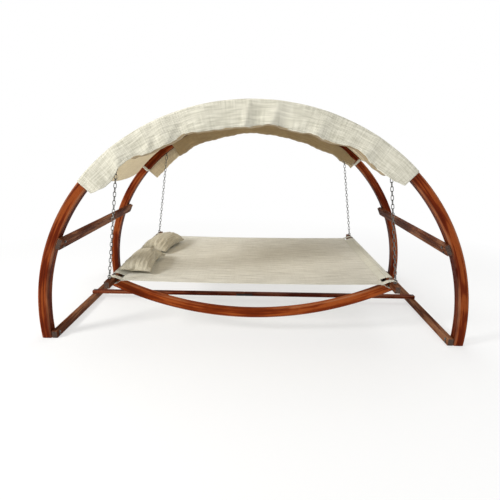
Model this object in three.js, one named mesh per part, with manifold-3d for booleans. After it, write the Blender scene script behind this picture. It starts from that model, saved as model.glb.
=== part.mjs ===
// A swing bed that hangs on four chains inside a stand of two laminated timber arches, with a cloth canopy.
// Millimetres. X runs along the bed, Y from the front arch to the back arch, +Z up.
// The origin is on the floor under the middle of the stand.

import * as THREE from 'three';
import { mergeVertices } from 'three/addons/utils/BufferGeometryUtils.js';
import Module from 'manifold-3d';

const wasm = await Module();
wasm.setup();

// ---------------------------------------------------------------- driving dimensions

const GAP = 0.3;                       // air between pieces that touch
const degrees = THREE.MathUtils.degToRad;

// Arches: a circular band of timber, cut off by the floor.
const ARCH_OUTER_R = 1575;
const ARCH_INNER_R = 1503;
const ARCH_CENTRE_Z = 123;             // height of the arch's centre above the floor
const ARCH_THICKNESS = 76;             // along Y
const ARCH_Y = 745;                    // middle plane of each arch
const ARCH_CHAMFER = 8;
const ARCH_SEGMENTS = 96;              // facets in a whole turn
const FACET_SAG = 0.9;                 // how far a facet of the inner face stands in front of the true circle
const SPLICE_ANGLE = degrees(25);      // from straight up to the joint between a leg and the crown
const SPLICE_SLIT = degrees(0.012);    // half the saw-thin gap in that joint

// Crossbars, bolted flat on the arches' inner faces.
const MID_BAR_ANGLE = degrees(65.7);
const MID_BAR = { height: 82, depth: 36, length: 1582, chamfer: 6 };
const FLOOR_BAR = { width: 44, height: 56, length: 1560, chamfer: 6 };
const BAR_TO_ARCH = 1.2;               // crossbar's flat face to the faceted arch

// Stretcher: two flat boards laid over the floor crossbars, joined by a fish plate.
const STRETCHER = { width: 48, height: 28, reach: 1497, chamfer: 3, jointX: -75 };

// Bed: two end bars in the cloth's sleeves, two bent spreader beams under them.
const END_BAR_X = 1033;
const END_BAR = { width: 40, height: 52, length: 1620, chamfer: 5, top: 468 };
const BEAM = { outerR: 2412.6, depth: 72, centreZ: 2554.6, thickness: 40, y: 640, reach: 1052 };
const BEAM_SPOTFACE_Z = 383;           // flat recess under the beam for the nut
const CLOTH = { thickness: 4, halfDepth: 710, seamX: 957, middleZ: 432, seamZ: 446 };
const SLEEVE_CLEARANCE = 0.6;
const SLOT = { from: 614, to: 666, inner: 962 };   // cut-out in each sleeve where a beam meets the bar

// Pillows lie on the cloth and lean on the left sleeve.
const PILLOW = { width: 172, length: 414, thickness: 30, round: 34, crown: 42 };
const PILLOW_TILT = degrees(6);
const PILLOW_Z = 464;
const PILLOWS = [
  { name: 'front_pillow', x: -889, y: -345, yaw: degrees(-1) },
  { name: 'back_pillow', x: -862, y: 240, yaw: degrees(-11) },
];

// Canopy: a roof sheet over both arches, a valance that hangs outside each arch, and a flap from each
// valance's hem that passes under the arch and up inside it. Beyond the angle openFrom the flap is open
// below, where a chain passes.
const CANOPY = {
  thickness: 8,
  from: degrees(-47.8),
  to: degrees(43.3),
  outerY: 812,
  hemR: 1420,
  sag: 60,
  sagSteps: 8,
};
const CANOPY_OVER_ARCH = 2;            // underside of the sheet above the arch's outer face
const FLAP = { from: degrees(-33.5), openFrom: degrees(37.6), to: degrees(42), innerY: 695, topR: 1535 };

// Chain and its fittings.
const CHAIN_WIRE = 5;
const CHAIN_LINK_WIDTH = 22;
const CHAIN_LINKS = 24;
const LINK_OVERLAP = 1.2;              // the plain links are fused where they touch
const RING_R = 11.5;                   // eye bolt's ring, to the middle of its wire
const RING_WIRE_R = 3;
const QUICK_LINK = { pitch: 50, halfWidth: 10, wire: 5, nutWidth: 9, nutLength: 16 };
const PIVOT_IN_RING = 4;               // how far a link's wire sits off the ring's centre
const TOP_EYE_X = 915;
const TOP_EYE_DROP = 18;               // ring centre below the arch's inner face
const BED_EYE_RISE = 16;               // ring centre above the end bar
const EYE_SHANK_R = 4;
const EYE_SHANK_REACH = 85;            // end of the shank above the ring's centre
const LINK_HOOK = 6.4;                 // how far the chain's end sits above the wire that it hangs in

// Bolts.
const BOLT_R = 4;
const BOLT_HOLE_R = 4.5;
const HEX_HEAD = { radius: 7.5, height: 5 };
const WASHER_STRIP = { width: 17, thickness: 2.5 };
const MID_BOLT_SPACING = 40;
const FLOOR_BOLT_SPACING = 24;
const ARCH_BOLT_DEPTH = 45;
const DOME_HEAD = { radius: 11, height: 4.5 };
const FISH_PLATE = { length: 150, height: 20, thickness: 3, screwX: [-55, -20, 20, 55] };
const FISH_SCREW_R = 3;
const FISH_SCREW_DEPTH = 30;

// ---------------------------------------------------------------- materials

const finish = (color, roughness, metalness = 0) =>
  new THREE.MeshStandardMaterial({ color, roughness, metalness });
const archTimber = finish(0x8f3d17, 0.5);
const barTimber = finish(0x6e4630, 0.6);
const canopyCloth = finish(0xd8d5c4, 0.9);
const bedCloth = finish(0xc3bea3, 0.9);
const pillowCloth = finish(0xc9c4b0, 0.9);
const zinc = finish(0x9a9a98, 0.35, 0.9);

// ---------------------------------------------------------------- solids

function toSolid(geometry) {
  const bare = geometry.clone();
  bare.deleteAttribute('normal');
  bare.deleteAttribute('uv');
  const merged = mergeVertices(bare, 1e-3);
  return new wasm.Manifold(new wasm.Mesh({
    numProp: 3,
    vertProperties: Float32Array.from(merged.attributes.position.array),
    triVerts: Uint32Array.from(merged.index.array),
  }));
}

function toGeometry(solid) {
  const mesh = solid.getMesh();
  const geometry = new THREE.BufferGeometry();
  geometry.setAttribute('position', new THREE.BufferAttribute(mesh.vertProperties, 3));
  geometry.setIndex(new THREE.BufferAttribute(mesh.triVerts, 1));
  geometry.computeVertexNormals();
  return geometry;
}

function join(...geometries) {
  return toGeometry(geometries.map(toSolid).reduce((whole, piece) => whole.add(piece)));
}

function cut(geometry, ...cutters) {
  return toGeometry(cutters.map(toSolid).reduce((whole, tool) => whole.subtract(tool), toSolid(geometry)));
}

function common(geometry, other) {
  return toGeometry(toSolid(geometry).intersect(toSolid(other)));
}

// A rectangle round the origin with its corners cut off at 45 degrees.
function chamferedRectangle(width, height, chamfer) {
  const shape = new THREE.Shape();
  const [x, y] = [width / 2, height / 2];
  shape.moveTo(-x + chamfer, -y);
  shape.lineTo(x - chamfer, -y);
  shape.lineTo(x, -y + chamfer);
  shape.lineTo(x, y - chamfer);
  shape.lineTo(x - chamfer, y);
  shape.lineTo(-x + chamfer, y);
  shape.lineTo(-x, y - chamfer);
  shape.lineTo(-x, -y + chamfer);
  shape.closePath();
  return shape;
}

// Extrudes a shape drawn in X and Z along Y, centred on Y = 0.
function alongY(shape, length, options = {}) {
  const geometry = new THREE.ExtrudeGeometry(shape, { depth: length, bevelEnabled: false, ...options });
  geometry.translate(0, 0, -length / 2);
  geometry.rotateX(Math.PI / 2);
  return geometry;
}

function bar({ width, height, length, chamfer }) {
  return alongY(chamferedRectangle(width, height, chamfer), length);
}

function box(x, y, z) {
  return new THREE.BoxGeometry(x[1] - x[0], y[1] - y[0], z[1] - z[0])
    .translate((x[0] + x[1]) / 2, (y[0] + y[1]) / 2, (z[0] + z[1]) / 2);
}

// A round pin along Z, from z = low to z = high.
function pin(radius, low, high, sides = 8) {
  return new THREE.CylinderGeometry(radius, radius, high - low, sides)
    .rotateX(Math.PI / 2)
    .translate(0, 0, (low + high) / 2);
}

// ---------------------------------------------------------------- places on the arches

const at = (x, y, z) => new THREE.Matrix4().makeTranslation(x, y, z);

// The frame at the arch's centre whose Z runs outwards along the radius at an angle from straight up.
function archFrame(angle, y = 0) {
  return new THREE.Matrix4()
    .makeRotationY(angle)
    .setPosition(0, y, ARCH_CENTRE_Z);
}

const sides = [
  { name: 'left', sign: -1 },
  { name: 'right', sign: 1 },
];
const planes = [
  { name: 'front', sign: -1 },
  { name: 'back', sign: 1 },
];
const corners = planes.flatMap((plane) => sides.map((side) => ({
  name: `${plane.name}_${side.name}`,
  x: side.sign,
  y: plane.sign,
})));

// The wedge between two angles from straight up, seen from the front, wide enough for the whole stand.
function sector(from, to) {
  const reach = 4 * ARCH_OUTER_R;
  const steps = 4;
  const shape = new THREE.Shape();
  shape.moveTo(0, 0);
  for (let i = 0; i <= steps; i += 1) {
    const angle = from + ((to - from) * i) / steps;
    shape.lineTo(reach * Math.sin(angle), reach * Math.cos(angle));
  }
  shape.closePath();
  return alongY(shape, 4 * ARCH_Y).translate(0, 0, ARCH_CENTRE_Z);
}

// A band round the arch's centre line. The section's points are [y, radius], anticlockwise, radius upwards.
function band(section, segments) {
  const points = section.map(([y, radius]) => new THREE.Vector2(radius, y)).reverse();
  points.push(points[0].clone());
  return new THREE.LatheGeometry(points, segments).translate(0, 0, ARCH_CENTRE_Z);
}

// ---------------------------------------------------------------- arches

function archSection() {
  const [y, c] = [ARCH_THICKNESS / 2, ARCH_CHAMFER];
  return [
    [-y + c, ARCH_INNER_R],
    [y - c, ARCH_INNER_R],
    [y, ARCH_INNER_R + c],
    [y, ARCH_OUTER_R - c],
    [y - c, ARCH_OUTER_R],
    [-y + c, ARCH_OUTER_R],
    [-y, ARCH_OUTER_R - c],
    [-y, ARCH_INNER_R + c],
  ];
}

// Crossbars: each has a frame on its inner face, opposite the arch, with Z through the bar and into the arch.
const midBarInnerR = ARCH_INNER_R - BAR_TO_ARCH - MID_BAR.depth;
const floorBarInnerX = Math.sqrt(ARCH_INNER_R ** 2 - ARCH_CENTRE_Z ** 2) - FACET_SAG - GAP - FLOOR_BAR.width;
const crossbarKinds = {
  mid: {
    thickness: MID_BAR.depth,
    spacing: MID_BOLT_SPACING,
    frame: (side) => archFrame(side * MID_BAR_ANGLE).multiply(at(0, 0, midBarInnerR)),
  },
  floor: {
    thickness: FLOOR_BAR.width,
    spacing: FLOOR_BOLT_SPACING,
    frame: (side) => at(side * floorBarInnerX, 0, FLOOR_BAR.height / 2)
      .multiply(new THREE.Matrix4().makeRotationY((side * Math.PI) / 2)),
  },
};

// Holes in an arch's leg for the two bolts that hold a crossbar.
function crossbarHoles({ thickness, spacing, frame }, side) {
  return [-spacing / 2, spacing / 2].map((x) => (
    pin(BOLT_HOLE_R, 0, thickness + ARCH_BOLT_DEPTH + 2)
      .translate(x, 0, 0)
      .applyMatrix4(frame(side))
  ));
}

const topEyeZ = ARCH_CENTRE_Z + Math.sqrt(ARCH_INNER_R ** 2 - TOP_EYE_X ** 2) - TOP_EYE_DROP;

function topEyeHole(side) {
  return pin(EYE_SHANK_R + 0.5, topEyeZ, topEyeZ + EYE_SHANK_REACH + 2).translate(side * TOP_EYE_X, 0, 0);
}

function legGeometry(side) {
  const ring = band(archSection(), ARCH_SEGMENTS);
  const wedge = side > 0
    ? sector(SPLICE_ANGLE + SPLICE_SLIT, degrees(120))
    : sector(degrees(-120), -SPLICE_ANGLE - SPLICE_SLIT);
  const reach = 2 * ARCH_OUTER_R;
  const aboveFloor = box([-reach, reach], [-reach, reach], [0, reach]);
  return cut(
    common(common(ring, wedge), aboveFloor),
    ...crossbarHoles(crossbarKinds.mid, side),
    ...crossbarHoles(crossbarKinds.floor, side),
    topEyeHole(side),
  );
}

function crownGeometry() {
  const ring = band(archSection(), ARCH_SEGMENTS);
  return common(ring, sector(-SPLICE_ANGLE + SPLICE_SLIT, SPLICE_ANGLE - SPLICE_SLIT));
}

// ---------------------------------------------------------------- crossbars and stretcher

const floorBarX = floorBarInnerX + FLOOR_BAR.width / 2;

// Holes through a crossbar for the bolts at its two ends, in the bar's own frame with the arch on +Z.
function barBoltHoles(spacing) {
  return planes.flatMap((plane) => [-spacing / 2, spacing / 2].map((x) => (
    pin(BOLT_HOLE_R, -MID_BAR.height, MID_BAR.height).translate(x, plane.sign * ARCH_Y, 0)
  )));
}

function midBarGeometry() {
  const { height, depth, length, chamfer } = MID_BAR;
  const plain = bar({ width: height, height: depth, length, chamfer });
  return cut(plain, ...barBoltHoles(MID_BOLT_SPACING));
}

function floorBarGeometry() {
  const holes = barBoltHoles(FLOOR_BOLT_SPACING).map((hole) => hole.rotateY(Math.PI / 2));
  const stretcherBolt = pin(BOLT_HOLE_R, -FLOOR_BAR.height / 4, FLOOR_BAR.height);
  return cut(bar(FLOOR_BAR), ...holes, stretcherBolt);
}

// A hex head bolt pair on one washer strip. Z = 0 is the timber face under it, and +Z goes into the timber.
function boltPairGeometry(spacing, depth) {
  const { width, thickness } = WASHER_STRIP;
  const half = spacing / 2 + width / 2;
  const strip = box([-half, half], [-width / 2, width / 2], [-thickness - GAP, -GAP]);
  const bolts = [-spacing / 2, spacing / 2].map((x) => join(
    pin(HEX_HEAD.radius, -thickness - GAP - HEX_HEAD.height, -thickness + 1, 6),
    pin(BOLT_R, -thickness, depth),
  ).translate(x, 0, 0));
  return join(strip, ...bolts);
}

const stretcherZ = FLOOR_BAR.height + GAP + STRETCHER.height / 2;

// The fish plate stands on the stretcher's front face: Z runs out of that face.
function fishPlateGeometry() {
  const { length, height, thickness, screwX } = FISH_PLATE;
  const plate = box([-length / 2, length / 2], [-height / 2, height / 2], [GAP, GAP + thickness]);
  const screws = screwX.map((x) => join(
    pin(5.5, thickness - 1, GAP + thickness + 4, 6),
    pin(FISH_SCREW_R, -FISH_SCREW_DEPTH, thickness, 6),
  ).translate(x, 0, 0));
  return join(plate, ...screws);
}

// Half of the stretcher in the world's own frame, from the joint to one side.
function stretcherGeometry(side) {
  const inner = STRETCHER.jointX + side * GAP / 2;
  const length = Math.abs(side * STRETCHER.reach - inner);
  const board = bar({ ...STRETCHER, length })
    .rotateZ(Math.PI / 2)
    .translate((side * STRETCHER.reach + inner) / 2, 0, stretcherZ);
  const endHole = pin(BOLT_HOLE_R, -STRETCHER.height, STRETCHER.height)
    .translate(side * floorBarX, 0, stretcherZ);
  const plateHoles = FISH_PLATE.screwX.map((x) => (
    pin(FISH_SCREW_R + 0.5, -FISH_SCREW_DEPTH - 1, 10)
      .rotateX(Math.PI / 2)
      .translate(STRETCHER.jointX + x, -STRETCHER.width / 2, stretcherZ)
  ));
  return cut(board, endHole, ...plateHoles);
}

function domeHead(low) {
  const { radius, height } = DOME_HEAD;
  const profile = [
    [0, 0],
    [radius, 0],
    [radius, height * 0.3],
    [radius * 0.6, height],
    [0, height],
  ].map(([x, y]) => new THREE.Vector2(x, y));
  return new THREE.LatheGeometry(profile, 8).rotateX(Math.PI / 2).translate(0, 0, low);
}

// Round-headed bolt that holds a stretcher end down. Z = 0 is the stretcher's top.
function stretcherBoltGeometry() {
  const shank = pin(BOLT_R, -STRETCHER.height - FLOOR_BAR.height / 2, GAP + 1);
  return join(domeHead(GAP), shank);
}

// ---------------------------------------------------------------- canopy

const canopyUnderR = ARCH_OUTER_R + CANOPY_OVER_ARCH;

// The roof sags between the arches. Its section runs back along the underside and returns along the top.
function canopyRoofGeometry() {
  const { thickness, from, to, outerY, sag, sagSteps } = CANOPY;
  const sagFrom = ARCH_Y - ARCH_THICKNESS / 2;
  const face = (radius) => {
    const points = [[-outerY, radius]];
    for (let i = 0; i <= sagSteps; i += 1) {
      const t = -1 + (2 * i) / sagSteps;
      points.push([t * sagFrom, radius - sag * (1 - t * t)]);
    }
    points.push([outerY, radius]);
    return points;
  };
  const section = [...face(canopyUnderR), ...face(canopyUnderR + thickness).reverse()];
  return common(band(section, ARCH_SEGMENTS), sector(from, to));
}

function canopyValanceGeometry() {
  const { thickness, from, to, hemR } = CANOPY;
  const [y, top] = [thickness / 2, canopyUnderR - GAP];
  return common(band([[-y, hemR], [y, hemR], [y, top], [-y, top]], ARCH_SEGMENTS), sector(from, to));
}

// The flap of one valance, in the world's own frame.
function canopyFlapGeometry(sign) {
  const { thickness, hemR, outerY } = CANOPY;
  const { from, openFrom, to, innerY, topR } = FLAP;
  const valanceY = outerY - thickness - GAP;
  const wallY = innerY + thickness;
  const wall = [[innerY, hemR], [wallY, hemR], [wallY, topR], [innerY, topR]];
  const floor = [[innerY, hemR], [valanceY, hemR], [valanceY, hemR + thickness], [innerY, hemR + thickness]];
  const onSide = (section) => (
    sign > 0 ? section : section.map(([y, radius]) => [-y, radius]).reverse()
  );
  return join(
    common(band(onSide(wall), ARCH_SEGMENTS), sector(from, to)),
    common(band(onSide(floor), ARCH_SEGMENTS), sector(from, openFrom)),
  );
}

// ---------------------------------------------------------------- bed

function endBarGeometry() {
  const holes = planes.flatMap(({ sign }) => [
    pin(EYE_SHANK_R + 0.5, -60, 60).translate(0, sign * ARCH_Y, 0),
    pin(BOLT_HOLE_R, -60, 60).translate(0, sign * BEAM.y, 0),
  ]);
  return cut(bar(END_BAR), ...holes);
}

function beamGeometry() {
  const { outerR, depth, centreZ, thickness, reach } = BEAM;
  const innerR = outerR - depth;
  const [low, high] = [Math.asin(reach / outerR), Math.asin(reach / innerR)];
  const down = -Math.PI / 2;
  const shape = new THREE.Shape();
  shape.absarc(0, centreZ, outerR, down - low, down + low, false);
  shape.absarc(0, centreZ, innerR, down + high, down - high, true);
  shape.closePath();
  const beam = alongY(shape, thickness, { curveSegments: 10 });
  const barBottom = END_BAR.top - END_BAR.height;
  const barInner = END_BAR_X - END_BAR.width / 2;
  const tools = sides.flatMap(({ sign }) => {
    const notchX = [sign * (barInner - 1), sign * 2 * reach].sort((a, b) => a - b);
    return [
      box(notchX, [-thickness, thickness], [barBottom - GAP, centreZ]),
      pin(BOLT_HOLE_R, 0, centreZ).translate(sign * END_BAR_X, 0, 0),
      pin(13, 0, BEAM_SPOTFACE_Z).translate(sign * END_BAR_X, 0, 0),
    ];
  });
  return cut(beam, ...tools);
}

// Round-headed bolt through an end bar and a beam's end, with its washer and nut. Z = 0 is the bar's top.
function beamBoltGeometry() {
  const washerTop = BEAM_SPOTFACE_Z - END_BAR.top - GAP;
  return join(
    domeHead(GAP),
    pin(BOLT_R, washerTop - 12, GAP + 1),
    pin(10, washerTop - 2, washerTop, 8),
    pin(7.5, washerTop - 9, washerTop - 1, 6),
  );
}

// The bed's cloth seen from the front: a shallow sag between two sleeves that go round the end bars.
function bedClothGeometry() {
  const { thickness, halfDepth, seamX, middleZ, seamZ } = CLOTH;
  const half = thickness / 2;
  const steps = 12;
  const sheetZ = (x) => middleZ + (seamZ - middleZ) * (x / seamX) ** 2;
  const across = Array.from({ length: steps + 1 }, (_, i) => seamX * (-1 + (2 * i) / steps));
  const bore = {
    inner: END_BAR_X - END_BAR.width / 2 - SLEEVE_CLEARANCE,
    outer: END_BAR_X + END_BAR.width / 2 + SLEEVE_CLEARANCE,
    low: END_BAR.top - END_BAR.height - SLEEVE_CLEARANCE,
    high: END_BAR.top + SLEEVE_CLEARANCE,
  };
  const corner = 4;
  // Outside of a sleeve from its upper seam over the bar and back to its lower seam, for the right-hand side.
  const sleeve = [
    [bore.inner - 2, bore.high + thickness],
    [bore.outer + thickness - corner, bore.high + thickness],
    [bore.outer + thickness, bore.high + thickness - corner],
    [bore.outer + thickness, bore.low - thickness + corner],
    [bore.outer + thickness - corner, bore.low - thickness],
    [bore.inner - 2, bore.low - thickness],
  ];
  const outline = new THREE.Shape();
  const trace = [
    ...across.map((x) => [x, sheetZ(x) + half]),
    ...sleeve,
    ...across.map((x) => [-x, sheetZ(x) - half]),
    ...sleeve.map(([x, z]) => [-x, z]).reverse(),
  ];
  outline.setFromPoints(trace.map(([x, z]) => new THREE.Vector2(x, z)));
  const bores = sides.map(({ sign }) => {
    const points = [
      [seamX + 9, seamZ],
      [bore.inner, bore.high],
      [bore.outer, bore.high],
      [bore.outer, bore.low],
      [bore.inner, bore.low],
    ].map(([x, z]) => new THREE.Vector2(sign * x, z));
    return alongY(new THREE.Shape(points), 2 * halfDepth + 2);
  });
  const slots = corners.map(({ x, y }) => box(
    [x * SLOT.inner, x * 2 * END_BAR_X].sort((a, b) => a - b),
    [y * SLOT.from, y * SLOT.to].sort((a, b) => a - b),
    [0, 2 * END_BAR.top],
  ));
  return cut(alongY(outline, 2 * halfDepth), ...bores, ...slots);
}

function pillowGeometry() {
  const { width, length, thickness, round, crown } = PILLOW;
  const flat = chamferedRectangle(width, length, round);
  return new THREE.ExtrudeGeometry(flat, {
    depth: thickness,
    bevelThickness: crown,
    bevelSize: crown,
    bevelSegments: 3,
  }).translate(0, 0, -thickness / 2);
}

// ---------------------------------------------------------------- chains and their fittings

// An eye bolt: its ring stands in X and Z round the origin and its shank goes up.
function eyeBoltGeometry(shankReach) {
  const ring = new THREE.TorusGeometry(RING_R, RING_WIRE_R, 6, 12).rotateX(Math.PI / 2);
  return join(ring, pin(EYE_SHANK_R, RING_R - 1, shankReach));
}

// A closed loop of wire in X and Z that hangs down from the origin. The origin is on the wire's middle line
// in the top bow, and the same line in the lower bow is one pitch further down.
function quickLinkGeometry() {
  const { pitch, halfWidth, wire, nutWidth, nutLength } = QUICK_LINK;
  const outer = halfWidth + wire / 2;
  const inner = halfWidth - wire / 2;
  const bowDistance = pitch - 2 * halfWidth;
  const loop = (radius, PathClass) => {
    const path = new PathClass();
    path.absarc(0, 0, radius, 0, Math.PI, false);
    path.absarc(0, -bowDistance, radius, Math.PI, 2 * Math.PI, false);
    path.closePath();
    return path;
  };
  const shape = loop(outer, THREE.Shape);
  shape.holes = [loop(inner, THREE.Path)];
  const body = alongY(shape, wire, { curveSegments: 3 }).translate(0, 0, -halfWidth);
  const nut = pin(nutWidth / 2, -nutLength / 2, nutLength / 2, 6).translate(halfWidth, 0, -pitch / 2);
  return join(body, nut);
}

// A run of plain links down from the origin, which is on the middle line of the first link's upper end.
function chainGeometry(length) {
  const pitch = length / CHAIN_LINKS;
  const outerLength = pitch + CHAIN_WIRE + LINK_OVERLAP;
  const link = () => cut(
    box(
      [-CHAIN_LINK_WIDTH / 2, CHAIN_LINK_WIDTH / 2],
      [-CHAIN_WIRE / 2, CHAIN_WIRE / 2],
      [-outerLength / 2, outerLength / 2],
    ),
    box(
      [-CHAIN_LINK_WIDTH / 2 + CHAIN_WIRE, CHAIN_LINK_WIDTH / 2 - CHAIN_WIRE],
      [-CHAIN_WIRE, CHAIN_WIRE],
      [-outerLength / 2 + CHAIN_WIRE, outerLength / 2 - CHAIN_WIRE],
    ),
  );
  const links = Array.from({ length: CHAIN_LINKS }, (_, i) => {
    const turned = i % 2 === 0 ? link() : link().rotateZ(Math.PI / 2);
    return turned.translate(0, 0, -(i + 0.5) * pitch);
  });
  return join(...links);
}

// ---------------------------------------------------------------- assembly

const hammock = new THREE.Group();

function add(name, geometry, material, matrix = new THREE.Matrix4()) {
  const mesh = new THREE.Mesh(geometry, material);
  mesh.name = name;
  matrix.decompose(mesh.position, mesh.quaternion, mesh.scale);
  hammock.add(mesh);
}

function addArches() {
  const crown = crownGeometry();
  const legs = { left: legGeometry(-1), right: legGeometry(1) };
  for (const plane of planes) {
    const y = plane.sign * ARCH_Y;
    add(`${plane.name}_arch_crown`, crown, archTimber, at(0, y, 0));
    for (const side of sides) {
      add(`${plane.name}_arch_${side.name}_leg`, legs[side.name], archTimber, at(0, y, 0));
    }
  }
}

function addCrossbars() {
  const kinds = Object.entries(crossbarKinds);
  const bolts = Object.fromEntries(kinds.map(([kind, { spacing, thickness }]) => (
    [kind, boltPairGeometry(spacing, thickness + ARCH_BOLT_DEPTH)]
  )));
  for (const side of sides) {
    const midFrame = crossbarKinds.mid.frame(side.sign).multiply(at(0, 0, MID_BAR.depth / 2));
    const floorCentre = at(side.sign * floorBarX, 0, FLOOR_BAR.height / 2);
    add(`${side.name}_mid_crossbar`, midBarGeometry(), barTimber, midFrame);
    add(`${side.name}_floor_crossbar`, floorBarGeometry(), barTimber, floorCentre);
    for (const [kind, { frame }] of kinds) {
      for (const plane of planes) {
        const matrix = at(0, plane.sign * ARCH_Y, 0).multiply(frame(side.sign));
        add(`${plane.name}_${side.name}_${kind}_bolts`, bolts[kind], zinc, matrix);
      }
    }
  }
}

function addStretcher() {
  for (const side of sides) {
    add(`${side.name}_stretcher`, stretcherGeometry(side.sign), archTimber);
    const top = stretcherZ + STRETCHER.height / 2;
    add(`${side.name}_stretcher_bolt`, stretcherBoltGeometry(), zinc, at(side.sign * floorBarX, 0, top));
  }
  const frontFace = at(STRETCHER.jointX, -STRETCHER.width / 2, stretcherZ)
    .multiply(new THREE.Matrix4().makeRotationX(Math.PI / 2));
  add('stretcher_fish_plate', fishPlateGeometry(), zinc, frontFace);
}

function addBed() {
  for (const side of sides) {
    const centreZ = END_BAR.top - END_BAR.height / 2;
    add(`${side.name}_end_bar`, endBarGeometry(), barTimber, at(side.sign * END_BAR_X, 0, centreZ));
  }
  for (const plane of planes) {
    add(`${plane.name}_spreader_beam`, beamGeometry(), archTimber, at(0, plane.sign * BEAM.y, 0));
  }
  for (const { name, x, y } of corners) {
    add(`${name}_beam_bolt`, beamBoltGeometry(), zinc, at(x * END_BAR_X, y * BEAM.y, END_BAR.top));
  }
  add('bed_cloth', bedClothGeometry(), bedCloth);
  for (const { name, x, y, yaw } of PILLOWS) {
    const matrix = at(x, y, PILLOW_Z + PILLOW.thickness / 2 + PILLOW.crown)
      .multiply(new THREE.Matrix4().makeRotationZ(yaw))
      .multiply(new THREE.Matrix4().makeRotationY(PILLOW_TILT));
    add(name, pillowGeometry(), pillowCloth, matrix);
  }
}

// Each corner's fittings, from the arch down: eye bolt, quick link, chain, quick link, eye bolt. The chain
// splays outwards, and each loop stands square to the one that it hangs in.
function addHangers() {
  const quickLink = quickLinkGeometry();
  const bedEyeZ = END_BAR.top + BED_EYE_RISE;
  const top = new THREE.Vector2(TOP_EYE_X, topEyeZ - PIVOT_IN_RING);
  const bottom = new THREE.Vector2(END_BAR_X, bedEyeZ + PIVOT_IN_RING);
  const whole = top.distanceTo(bottom);
  const splay = Math.atan2(bottom.x - top.x, top.y - bottom.y);
  const chainFrom = QUICK_LINK.pitch - LINK_HOOK;
  const chain = chainGeometry(whole - 2 * chainFrom);
  const topBolt = eyeBoltGeometry(EYE_SHANK_REACH);
  const bedBolt = eyeBoltGeometry(BED_EYE_RISE + END_BAR.height + 8).rotateX(Math.PI);
  const quarter = new THREE.Matrix4().makeRotationZ(Math.PI / 2);
  for (const { name, x, y } of corners) {
    const hang = at(x * top.x, y * ARCH_Y, top.y).multiply(new THREE.Matrix4().makeRotationY(-x * splay));
    const down = (distance) => hang.clone().multiply(at(0, 0, -distance));
    const archEye = at(x * TOP_EYE_X, y * ARCH_Y, topEyeZ).multiply(quarter);
    add(`${name}_arch_eye_bolt`, topBolt, zinc, archEye);
    add(`${name}_top_link`, quickLink, zinc, hang);
    add(`${name}_chain`, chain, zinc, down(chainFrom).multiply(quarter));
    add(`${name}_bottom_link`, quickLink, zinc, down(whole - QUICK_LINK.pitch).multiply(quarter));
    add(`${name}_bed_eye_bolt`, bedBolt, zinc, at(x * END_BAR_X, y * ARCH_Y, bedEyeZ));
  }
}

function addCanopy() {
  const valance = canopyValanceGeometry();
  const valanceY = CANOPY.outerY - CANOPY.thickness / 2;
  add('canopy_roof', canopyRoofGeometry(), canopyCloth);
  for (const { name, sign } of planes) {
    add(`${name}_canopy_valance`, valance, canopyCloth, at(0, sign * valanceY, 0));
    add(`${name}_canopy_flap`, canopyFlapGeometry(sign), canopyCloth);
  }
}

addArches();
addCrossbars();
addStretcher();
addBed();
addHangers();
addCanopy();

export default hammock;
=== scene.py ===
"""A swing bed that hangs on chains in a stand of two timber arches, under a cloth canopy.

Metres, in the CAD's frame.
"""

import random
from math import acos, asin, atan2, ceil, copysign, cos, exp, hypot, pi, radians, sin

import bpy
import numpy as np
from mathutils import Matrix, Vector, noise


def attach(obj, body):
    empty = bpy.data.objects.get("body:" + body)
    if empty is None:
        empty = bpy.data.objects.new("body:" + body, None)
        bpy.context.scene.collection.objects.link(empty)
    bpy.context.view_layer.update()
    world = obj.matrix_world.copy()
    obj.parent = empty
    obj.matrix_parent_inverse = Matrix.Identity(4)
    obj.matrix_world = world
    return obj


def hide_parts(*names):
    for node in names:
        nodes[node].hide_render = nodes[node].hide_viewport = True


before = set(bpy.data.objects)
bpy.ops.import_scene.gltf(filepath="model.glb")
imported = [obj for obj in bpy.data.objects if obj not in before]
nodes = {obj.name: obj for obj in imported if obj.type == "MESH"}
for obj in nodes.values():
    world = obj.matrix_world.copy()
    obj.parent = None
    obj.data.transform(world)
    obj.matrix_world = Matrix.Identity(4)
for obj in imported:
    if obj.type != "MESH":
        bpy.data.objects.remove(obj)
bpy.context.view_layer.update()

# ---------------------------------------------------------------- sizes, as in the CAD

SIDES = {"left": -1, "right": 1}
PLANES = {"front": -1, "back": 1}
CORNERS = [(f"{p}_{s}", SIDES[s], PLANES[p]) for p in PLANES for s in SIDES]

ARCH_INNER, ARCH_OUTER = 1.503, 1.575
ARCH_Z = 0.123
ARCH_THICK = 0.076
ARCH_Y = 0.745
SPLICE, FOOT = radians(25), radians(94.6)
MID_ANGLE = radians(65.7)
MID_BAR = (0.082, 0.036, 1.582)
MID_BAR_GAP = 0.0012
FLOOR_BAR = (0.044, 0.056, 1.560)
FLOOR_BAR_X = 1.4748
STRETCHER = (0.048, 0.028)
STRETCHER_REACH, STRETCHER_JOINT = 1.497, -0.075
STRETCHER_Z = 0.0703
END_BAR = (0.040, 0.052, 1.620)
END_BAR_X, END_BAR_TOP = 1.033, 0.468
BEAM_Y, BEAM_REACH, BEAM_THICK = 0.640, 1.052, 0.040
BEAM_CENTRE_Z, BEAM_OUTER, BEAM_DEPTH = 2.5546, 2.4126, 0.072
TOP_EYE = Vector((0.915, 1.2974))
BED_EYE = Vector((1.033, 0.484))
RING_R, RING_WIRE = 0.0115, 0.003
PIVOT_IN_RING = 0.004
LINK_PITCH, LINK_HALF, LINK_WIRE = 0.050, 0.010, 0.0025
CHAIN_LINKS, CHAIN_WIRE, CHAIN_HALF = 24, 0.0025, 0.0085
SHANK_R, WASHER_R = 0.0039, 0.0095

# ---------------------------------------------------------------- node helpers


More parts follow.
